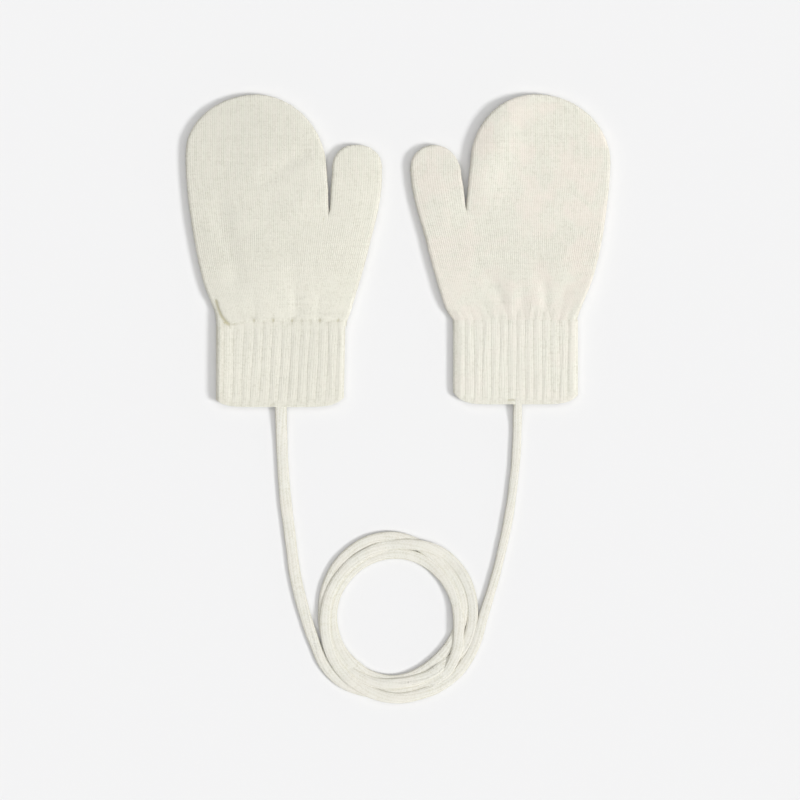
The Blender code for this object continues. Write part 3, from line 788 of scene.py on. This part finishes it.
def cuff_outside(mitten, grid, depth, phase, from_hem, sizes, wavers, upper):
    """What ribs, hem, wales, creases and roll add to the height of the cuff's outer side."""
    heights = grid[..., 1]
    relief = ridge(phase * WALES_PER_RIB)
    rib = np.clip(np.floor(phase).astype(int) + 1, 0, len(sizes) - 1)
    own = sizes[rib] * (1 + RIB_UNEVEN * np.sin(heights / RIB_WAVE + wavers[rib]))
    start = mitten.joint.rib_share
    fade = HEM_RIB_SHARE + (1 - HEM_RIB_SHARE) * step(from_hem, *HEM_PLAIN)
    fade *= start + (1 - start) * step(-heights, 0, RIB_GATHER)
    raised = own * rib_profile(phase) * fade
    hem = HEM_DROP * (1 - rounded(from_hem + HEM_START, HEM_REACH))
    if upper:
        pressed = CREASE_DEPTH * crease_depth(grid, mitten.creases)
        pressed = pressed + RIB_WALE_SHARE * WALE_RELIEF * fade * (1 - relief)
        return RIB_HEIGHT * raised - hem - pressed + rolled(mitten.cuff, grid[..., 0], depth)
    below = UNDER_RIB * (1 - raised) + hem / 2 + WALE_RELIEF * (1 - relief)
    return below * step(depth, 0, UNDER_RIB_REACH)


def cuff_shade(phase, heights, depth, from_hem, relief, roll):
    """How far seam, sides, hem, roll, grooves and wales lower the relief that colours the cuff: shade
    painted into the seam's dimples, the rib grooves, the turned sides, the hem and the rolled side, while
    the wales' painted groove shade is made fainter.
    """
    groove = 1 - rib_profile(phase)
    shade = SEAM_SHADE * groove ** DIMPLE_ROUND * np.exp(-(heights / SEAM_SHADE_WIDTH) ** 2)
    shade = shade + SIDE_SHADE * (1 - step(depth, 0, SIDE_REACH))
    shade = shade + HEM_SHADE * (1 - step(from_hem, 0, HEM_PLAIN[1])) + ROLL_SHADE * roll
    return shade + GROOVE_SHADE * groove ** 2 + CUFF_WALE_SHARE * (relief - 1)


def build_cuff(name, mitten, material):
    """Ribbed tube, pressed flat and open at both ends."""
    cuff = mitten.cuff
    shares = cuff_columns(cuff)
    edge = np.where(shares < 0.5, cuff.little_edge, cuff.thumb_edge)
    sizes, wavers, strays = cuff_draws(cuff, mitten.side)
    grids, rims = [], []
    for inset, rows in ((0.0, ROWS_CUFF), (CUFF_WALL, ROWS_CUFF_INSIDE)):
        grid, depth, across, from_hem = cuff_grid(cuff, shares, rows, inset)
        phase = (across - cuff.first) / cuff.pitch
        grid = wandered(grid, depth, phase, strays)
        bulge = rounded(depth - inset, edge - inset * EDGE_TIGHTENING)
        half = (CUFF_THICK / 2 - inset) * bulge
        wales = np.broadcast_to(phase * WALES_PER_RIB, depth.shape)
        relief = ridge(wales)
        roll = rolled(cuff, grid[..., 0], depth)
        shade = cuff_shade(phase, grid[..., 1], depth - inset, from_hem, relief, roll)
        crease = crease_depth(grid, mitten.creases)
        for upper in (True, False):
            z = CUFF_THICK / 2 + half if upper else CUFF_THICK / 2 - half
            if inset == 0:
                z = z + bulge * cuff_outside(mitten, grid, depth, phase, from_hem, sizes, wavers, upper)
            # Shade painted into the creases of the outer side
            pressed = CREASE_SHADE * crease if upper else 0
            points, tag = tagged(mitten, grid, z, wales, relief - shade - pressed)
            grids.append((points, tag))
            rims.append((points, tag))
    for outer, inner in zip(rims[:2], rims[2:]):
        for end in (0, -1):
            grids.append(tuple(np.stack([outer[part][end], inner[part][end]]) for part in (0, 1)))
    return knit_mesh(name, grids, material)


def route_line(route, spacing):
    """Evenly spaced points on one smooth curve through a route's own points."""
    route = np.array(route, float)
    steps = np.linalg.norm(np.diff(route, axis=0), axis=1)
    travelled = np.concatenate([[0], np.cumsum(steps)])
    at = np.linspace(0, travelled[-1], int(travelled[-1] / spacing) + 1)
    return np.column_stack([smooth(travelled, route[:, axis], at) for axis in range(route.shape[1])])


def coil_points():
    """Points of the turns, one every few degrees, worked out from how the cord winds."""
    turned = column(WINDS, "turned")
    at = np.arange(turned[0], turned[-1] + 1, COIL_STEP)
    angle = np.radians(at)
    radius = smooth(turned, column(WINDS, "radius"), at)
    layer = np.clip(smooth(turned, column(WINDS, "layer"), at), 0, 1)
    x = COIL_MIDDLE[0] + radius * np.cos(angle)
    y = COIL_MIDDLE[1] + radius * np.sin(angle)
    return np.column_stack([x, y, CORD_REST + LAYER_RISE * layer])


def settled(points):
    """The cord laid to rest: it sinks to what it lies on, and turns side by side press apart."""
    target = points[:, :2].copy()
    count = len(points)
    apart = np.abs(np.arange(count)[:, None] - np.arange(count)) > SETTLE_NEIGHBOURS
    over = points[:, 2][:, None] - points[:, 2] > SETTLE_OVER * LAYER_RISE
    beside = apart & ~(over | over.T)
    flatness = CORD_GIVE * CORD_HEIGHT / CORD_DIAMETER
    for _ in range(SETTLE_ROUNDS):
        gap = points[:, None, :2] - points[None, :, :2]
        near = np.sqrt((gap ** 2).sum(2)) + 1e-9
        press = np.where(beside & (near < CORD_TOUCH), (CORD_TOUCH - near) / near, 0)
        push = (gap * press[..., None]).sum(1) / np.maximum((press > 0).sum(1), 1)[:, None]
        points[:, :2] += SETTLE_PUSH * push + SETTLE_PULL * (target - points[:, :2])
        clear = np.where(apart & over & (near < CORD_TOUCH), CORD_TOUCH ** 2 - near ** 2, 0)
        resting = np.where(clear > 0, points[:, 2] + flatness * np.sqrt(clear), 0).max(1)
        points[:, 2] = np.maximum(points[:, 2] - SETTLE_SINK, np.maximum(resting, CORD_REST))
        points[1:-1] += SETTLE_SMOOTH * ((points[:-2] + points[2:]) / 2 - points[1:-1])
        points[:, 2] = np.maximum(points[:, 2], CORD_REST)
    return points


def cord_line():
    """Centreline of the whole cord, from inside the left hem round the coil to the right hem."""
    def flat(route):
        return np.column_stack([np.array(route, float), np.full(len(route), CORD_REST)])

    whole = np.vstack([flat(LEFT_ROUTE), coil_points(), flat(RIGHT_ROUTE[::-1])])
    points = settled(route_line(whole, SETTLE_SPACING))
    x, y = points[:, 0], points[:, 1]
    points[:, 2] += RIGHT_HEM_CLIMB * step(y, *RIGHT_HEM_SLOPE) * (x > 0)
    points[:, 2] += LEFT_HEM_CLIMB * step(y, *LEFT_HEM_SLOPE) * (x < 0)
    return route_line(np.vstack([LEFT_ROOT, points, RIGHT_ROOT]), CORD_RING_STEP)


def superellipse(angle):
    """Across and up on a section that is a little squarer than an ellipse, of half width 1."""
    power = 2 / CORD_SQUARENESS
    across = np.sign(np.cos(angle)) * np.abs(np.cos(angle)) ** power
    above = np.sign(np.sin(angle)) * np.abs(np.sin(angle)) ** power
    return across, above


def build_cord(name, line, material):
    """Knitted tube along the cord's line."""
    ahead = np.gradient(line, axis=0)
    ahead /= np.linalg.norm(ahead, axis=1)[:, None]
    side = np.cross(np.array([0, 0, 1.0]), ahead)
    side /= np.linalg.norm(side, axis=1)[:, None]
    up = np.cross(ahead, side)
    travelled = np.concatenate([[0], np.cumsum(np.linalg.norm(np.diff(line, axis=0), axis=1))])
    length = travelled[-1]
    around = np.arange(CORD_SIDES + 1) / CORD_SIDES
    wales = np.broadcast_to(around * CORD_WALES, (len(line), CORD_SIDES + 1))
    relief = ridge(wales)
    amount, reach = CORD_TWIST_WAVER
    twist = CORD_TWIST * travelled + amount * np.sin(travelled / reach)
    angle = 2 * math.pi * (around[None] + twist[:, None])

    # Its size wavers along it and shrinks at its two ends, and it spreads differently on each run
    taper = CORD_END + (1 - CORD_END) * rounded(np.minimum(travelled, length - travelled), CORD_END_REACH)
    size = (1 + sum(amount * np.sin(travelled / reach) for amount, reach in CORD_SWELLS)) * taper
    low, high = CORD_RUN_ENDS
    runs = (low, high, length - high, length - low)
    spread = np.interp(travelled, runs, np.repeat(CORD_SPREADS, (1, 2, 1)))
    depth = CORD_RELIEF * (1 - relief)
    across, above = superellipse(angle)
    across *= (size + spread)[:, None] * CORD_DIAMETER / 2 - depth
    above *= size[:, None] * CORD_HEIGHT / 2 - depth
    points = line[:, None] + side[:, None] * across[..., None] + up[:, None] * above[..., None]
    courses = np.broadcast_to(travelled[:, None] / CORD_COURSE, angle.shape)
    # The relief that colours the cord: shade painted into the wales' grooves and on the turned sides
    facing = np.clip(above / (CORD_HEIGHT / 2), 0, 1)
    shown = CORD_TAG + CORD_WALE_SHARE * relief - CORD_SIDE_SHADE * (1 - step(facing, *CORD_SIDES_TURN))
    tag = np.stack([wales, courses, shown], axis=-1)
    caps = []
    for end in (0, -1):
        middle = np.broadcast_to(line[end], points[end].shape)
        caps.append((np.stack([points[end], middle]) * MM, np.stack([tag[end], tag[end]])))
    return knit_mesh(name, [(points * MM, tag)] + caps, material)


class Nodes:
    """Short way to write a material's nodes."""

    def __init__(self, name):
        self.material = bpy.data.materials.new(name)
        self.material.use_nodes = True
        self.tree = self.material.node_tree
        self.shader = self.tree.nodes["Principled BSDF"]

    def put(self, socket, value):
        if isinstance(value, bpy.types.NodeSocket):
            self.tree.links.new(value, socket)
        elif value is not None:
            socket.default_value = value

    def add(self, kind, values, **settings):
        """A new node of one kind with its settings, and a value or a link for each input named."""
        node = self.tree.nodes.new(kind)
        for name, setting in settings.items():
            setattr(node, name, setting)
        for socket, value in values.items():
            self.put(node.inputs[socket], value)
        return node

    def math(self, operation, a, b=None):
        return self.add("ShaderNodeMath", {0: a, 1: b}, operation=operation).outputs[0]

    def mix(self, amount, a, b):
        node = self.add("ShaderNodeMix", {"Factor": amount, "A": a, "B": b}, data_type="RGBA")
        return node.outputs["Result"]

    def separate(self, vector):
        return self.add("ShaderNodeSeparateXYZ", {0: vector}).outputs

    def scaled(self, vector, by):
        return self.add("ShaderNodeVectorMath", {0: vector, 1: by}, operation="MULTIPLY").outputs[0]

    def speckle(self, place):
        """A value of its own for each whole step of the place."""
        whole = self.add("ShaderNodeVectorMath", {0: place}, operation="FLOOR").outputs[0]
        return self.add("ShaderNodeTexWhiteNoise", {"Vector": whole}).outputs["Value"]

    def noise(self, place, scale, detail, roughness=0.5):
        values = {"Vector": place, "Scale": scale, "Detail": detail, "Roughness": roughness}
        return self.add("ShaderNodeTexNoise", values).outputs["Fac"]

    def ramp(self, value, low, high):
        values = {"Value": value, "From Min": low, "From Max": high}
        node = self.add("ShaderNodeMapRange", values, interpolation_type="SMOOTHSTEP")
        return node.outputs["Result"]

    def bump(self, height, distance_m, strength, below=None):
        values = {"Height": height, "Distance": distance_m, "Strength": strength, "Normal": below}
        return self.add("ShaderNodeBump", values).outputs["Normal"]


def stitch_height(n, wale, course):
    """One stitch is a V: two legs that lean away from the middle of their wale."""
    across = n.math("ABSOLUTE", n.math("SUBTRACT", n.math("FRACT", wale), 0.5))
    off_leg = n.math("ABSOLUTE", n.math("SUBTRACT", across, 0.25))
    leg = n.math("SUBTRACT", 1.0, n.math("MULTIPLY", off_leg, LEG_FALL))
    leaning = n.math("SUBTRACT", course, n.math("MULTIPLY", across, LEG_LEAN))
    along = n.math("SINE", n.math("MULTIPLY", n.math("FRACT", leaning), math.pi))
    return n.math("MULTIPLY", leg, n.math("ADD", LEG_LOW, n.math("MULTIPLY", along, 1 - LEG_LOW)))


def set_wool_surface(n, stitch, fluff, fibres):
    """The bumps of stitches, fluff and fibres, and the dull, slightly furry surface of wool."""
    normal = None
    for height, bump in ((stitch, STITCH_BUMP), (fluff, FLUFF_BUMP), (fibres, FIBRE_BUMP)):
        normal = n.bump(height, *bump, normal)
    n.put(n.shader.inputs["Normal"], normal)
    for name, value in WOOL_SURFACE.items():
        n.shader.inputs[name].default_value = value


def wool(name):
    """Soft wool knit: stitches from the piece's knit coordinates, fibres and slight mottling, with shade
    painted into the grooves, between the stitch legs, in creases and on turned sides.
    """
    own_wool = WOOLS[name]
    n = Nodes(name)
    knit = n.add("ShaderNodeAttribute", {}, attribute_name="knit").outputs["Vector"]
    wale, course, relief = n.separate(knit)
    place = n.add("ShaderNodeTexCoord", {}).outputs["Object"]
    stitch = stitch_height(n, wale, course)

    fibres = n.noise(place, *FIBRE_NOISE)
    fluff = n.noise(place, *FLUFF_NOISE)
    own = n.speckle(n.scaled(knit, (1.0, 1.0, 0.0)))
    streaks = n.noise(n.scaled(knit, STREAK_STRETCH), *STREAK_NOISE)
    bands = n.noise(n.scaled(knit, BAND_STRETCH), *STREAK_NOISE)
    patches = n.noise(place, *PATCH_NOISE)
    blushes = n.noise(place, *BLUSH_NOISE)

    # Painted shade: the colour goes to the groove's where the relief and the stitch legs are low; the
    # grains add the wool's own uneven tone
    raised = n.math("MULTIPLY", relief, RELIEF_SHARE)
    crest = n.math("ADD", raised, n.math("MULTIPLY", stitch, own_wool.stitched))
    grains = ((fibres, 1.0), (fluff, own_wool.fluffy), (own, OWN_SHARE),
              (streaks, own_wool.streaky), (bands, BAND_SHARE * own_wool.streaky))
    for grain, share in grains:
        crest = n.math("ADD", crest, n.math("MULTIPLY", n.math("SUBTRACT", grain, 0.5), share))
    colour = n.mix(n.ramp(crest, *CREST_RANGE), own_wool.groove, own_wool.light)
    # Where the relief runs low, in creases, dimples and on turned sides, the colour goes to the painted
    # shade tone
    colour = n.mix(n.ramp(relief, *CREASE_RANGE), colour, PAINTED_SHADE_TONE)
    blush = n.math("MULTIPLY", n.ramp(blushes, *BLUSH_RANGE), own_wool.blush)
    colour = n.mix(blush, colour, own_wool.pink)
    darker = tuple(PATCH_TONE * value for value in own_wool.light[:3]) + (1.0,)
    colour = n.mix(n.math("MULTIPLY", n.ramp(patches, *PATCH_RANGE), PATCH_SHARE), colour, darker)
    if own_wool.dim:
        amount, begins, ends = own_wool.dim
        x, y, _ = n.separate(place)
        way = n.math("SUBTRACT", n.math("MULTIPLY", x, DIM_WAY[0]), n.math("MULTIPLY", y, DIM_WAY[1]))
        shaded = n.scaled(colour, (1 - amount, 1 - amount, 1 - amount))
        colour = n.mix(n.math("SUBTRACT", 1.0, n.ramp(way, begins, ends)), colour, shaded)
    n.put(n.shader.inputs["Base Color"], colour)
    set_wool_surface(n, stitch, fluff, fibres)
    return n.material


def set_camera():
    data = bpy.data.cameras.new("photo_camera")
    data.sensor_width = SENSOR
    width = PHOTO_PIXELS * MM_PER_PIXEL * MM
    data.lens = SENSOR * CAMERA_HEIGHT / width
    camera = bpy.data.objects.new("photo_camera", data)
    bpy.context.scene.collection.objects.link(camera)
    middle = PHOTO_PIXELS / 2
    camera.location = ((middle - ORIGIN_PIXEL[0]) * MM_PER_PIXEL * MM,
                       (ORIGIN_PIXEL[1] - middle) * MM_PER_PIXEL * MM, CAMERA_HEIGHT)
    bpy.context.scene.camera = camera


def set_floor():
    bpy.ops.mesh.primitive_plane_add(size=FLOOR_SIZE, location=(0, 0, -FLOOR_DROP))
    floor = bpy.context.object
    floor.name = "floor"
    n = Nodes("floor_paper")
    n.shader.inputs["Base Color"].default_value = FLOOR_COLOUR
    n.shader.inputs["Roughness"].default_value = FLOOR_ROUGHNESS
    n.shader.inputs["Specular IOR Level"].default_value = FLOOR_SHINE
    floor.data.materials.append(n.material)


def set_lights():
    for light in LIGHTS:
        data = bpy.data.lights.new(light.name, "SUN")
        data.energy = light.strength
        data.angle = math.radians(light.angle)
        sun = bpy.data.objects.new(light.name, data)
        azimuth, elevation = math.radians(light.azimuth), math.radians(light.elevation)
        flat = math.cos(elevation)
        towards = Vector((math.cos(azimuth) * flat, math.sin(azimuth) * flat, math.sin(elevation)))
        sun.rotation_euler = towards.to_track_quat("Z", "Y").to_euler()
        bpy.context.scene.collection.objects.link(sun)


def set_room():
    """A pale room, brighter towards the horizon."""
    world = bpy.data.worlds.new("pale_room")
    world.use_nodes = True
    nodes, links = world.node_tree.nodes, world.node_tree.links
    way = nodes.new("ShaderNodeTexCoord")
    parts = nodes.new("ShaderNodeSeparateXYZ")
    fall = nodes.new("ShaderNodeMapRange")
    heights = {"From Min": 0.0, "From Max": HORIZON_TOP, "To Min": HORIZON_LIGHT, "To Max": ROOM_LIGHT}
    for name, value in heights.items():
        fall.inputs[name].default_value = value
    links.new(way.outputs["Generated"], parts.inputs[0])
    links.new(parts.outputs["Z"], fall.inputs["Value"])
    background = nodes["Background"]
    background.inputs["Color"].default_value = (1, 1, 1, 1)
    links.new(fall.outputs["Result"], background.inputs["Strength"])
    bpy.context.scene.world = world
    bpy.context.scene.view_settings.view_transform = "Standard"


def surface_area(grids):
    """Area of the cloth's outer side, from the outline's grids."""
    total = 0
    for grid, _, _ in grids:
        a, b = grid[1:, :-1] - grid[:-1, :-1], grid[:-1, 1:] - grid[:-1, :-1]
        total += np.abs(a[..., 0] * b[..., 1] - a[..., 1] * b[..., 0]).sum()
    return 2 * total


set_camera()

wools = {name: wool(name) for name in WOOLS}
line = cord_line()
cord = build_cord("cord", line, wools["cord_wool"])
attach(cord, "root")
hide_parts("cord_left_run", "cord_coil", "cord_right_run")

for label, pair in (("left", LEFT), ("right", RIGHT)):
    hand = build_hand(label + "_hand_knit", pair, wools[label + "_hand_wool"])
    cuff = build_cuff(label + "_cuff_rib", pair, wools[label + "_cuff_wool"])
    surface_area(hand_grids(pair, 0, ROWS_AREA)) * MM * MM
    for piece, node, finish in ((hand, label + "_hand", "hand_knit"), (cuff, label + "_cuff", "rib_knit")):
        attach(piece, "root")
        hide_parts(node)

set_floor()
set_lights()
set_room()
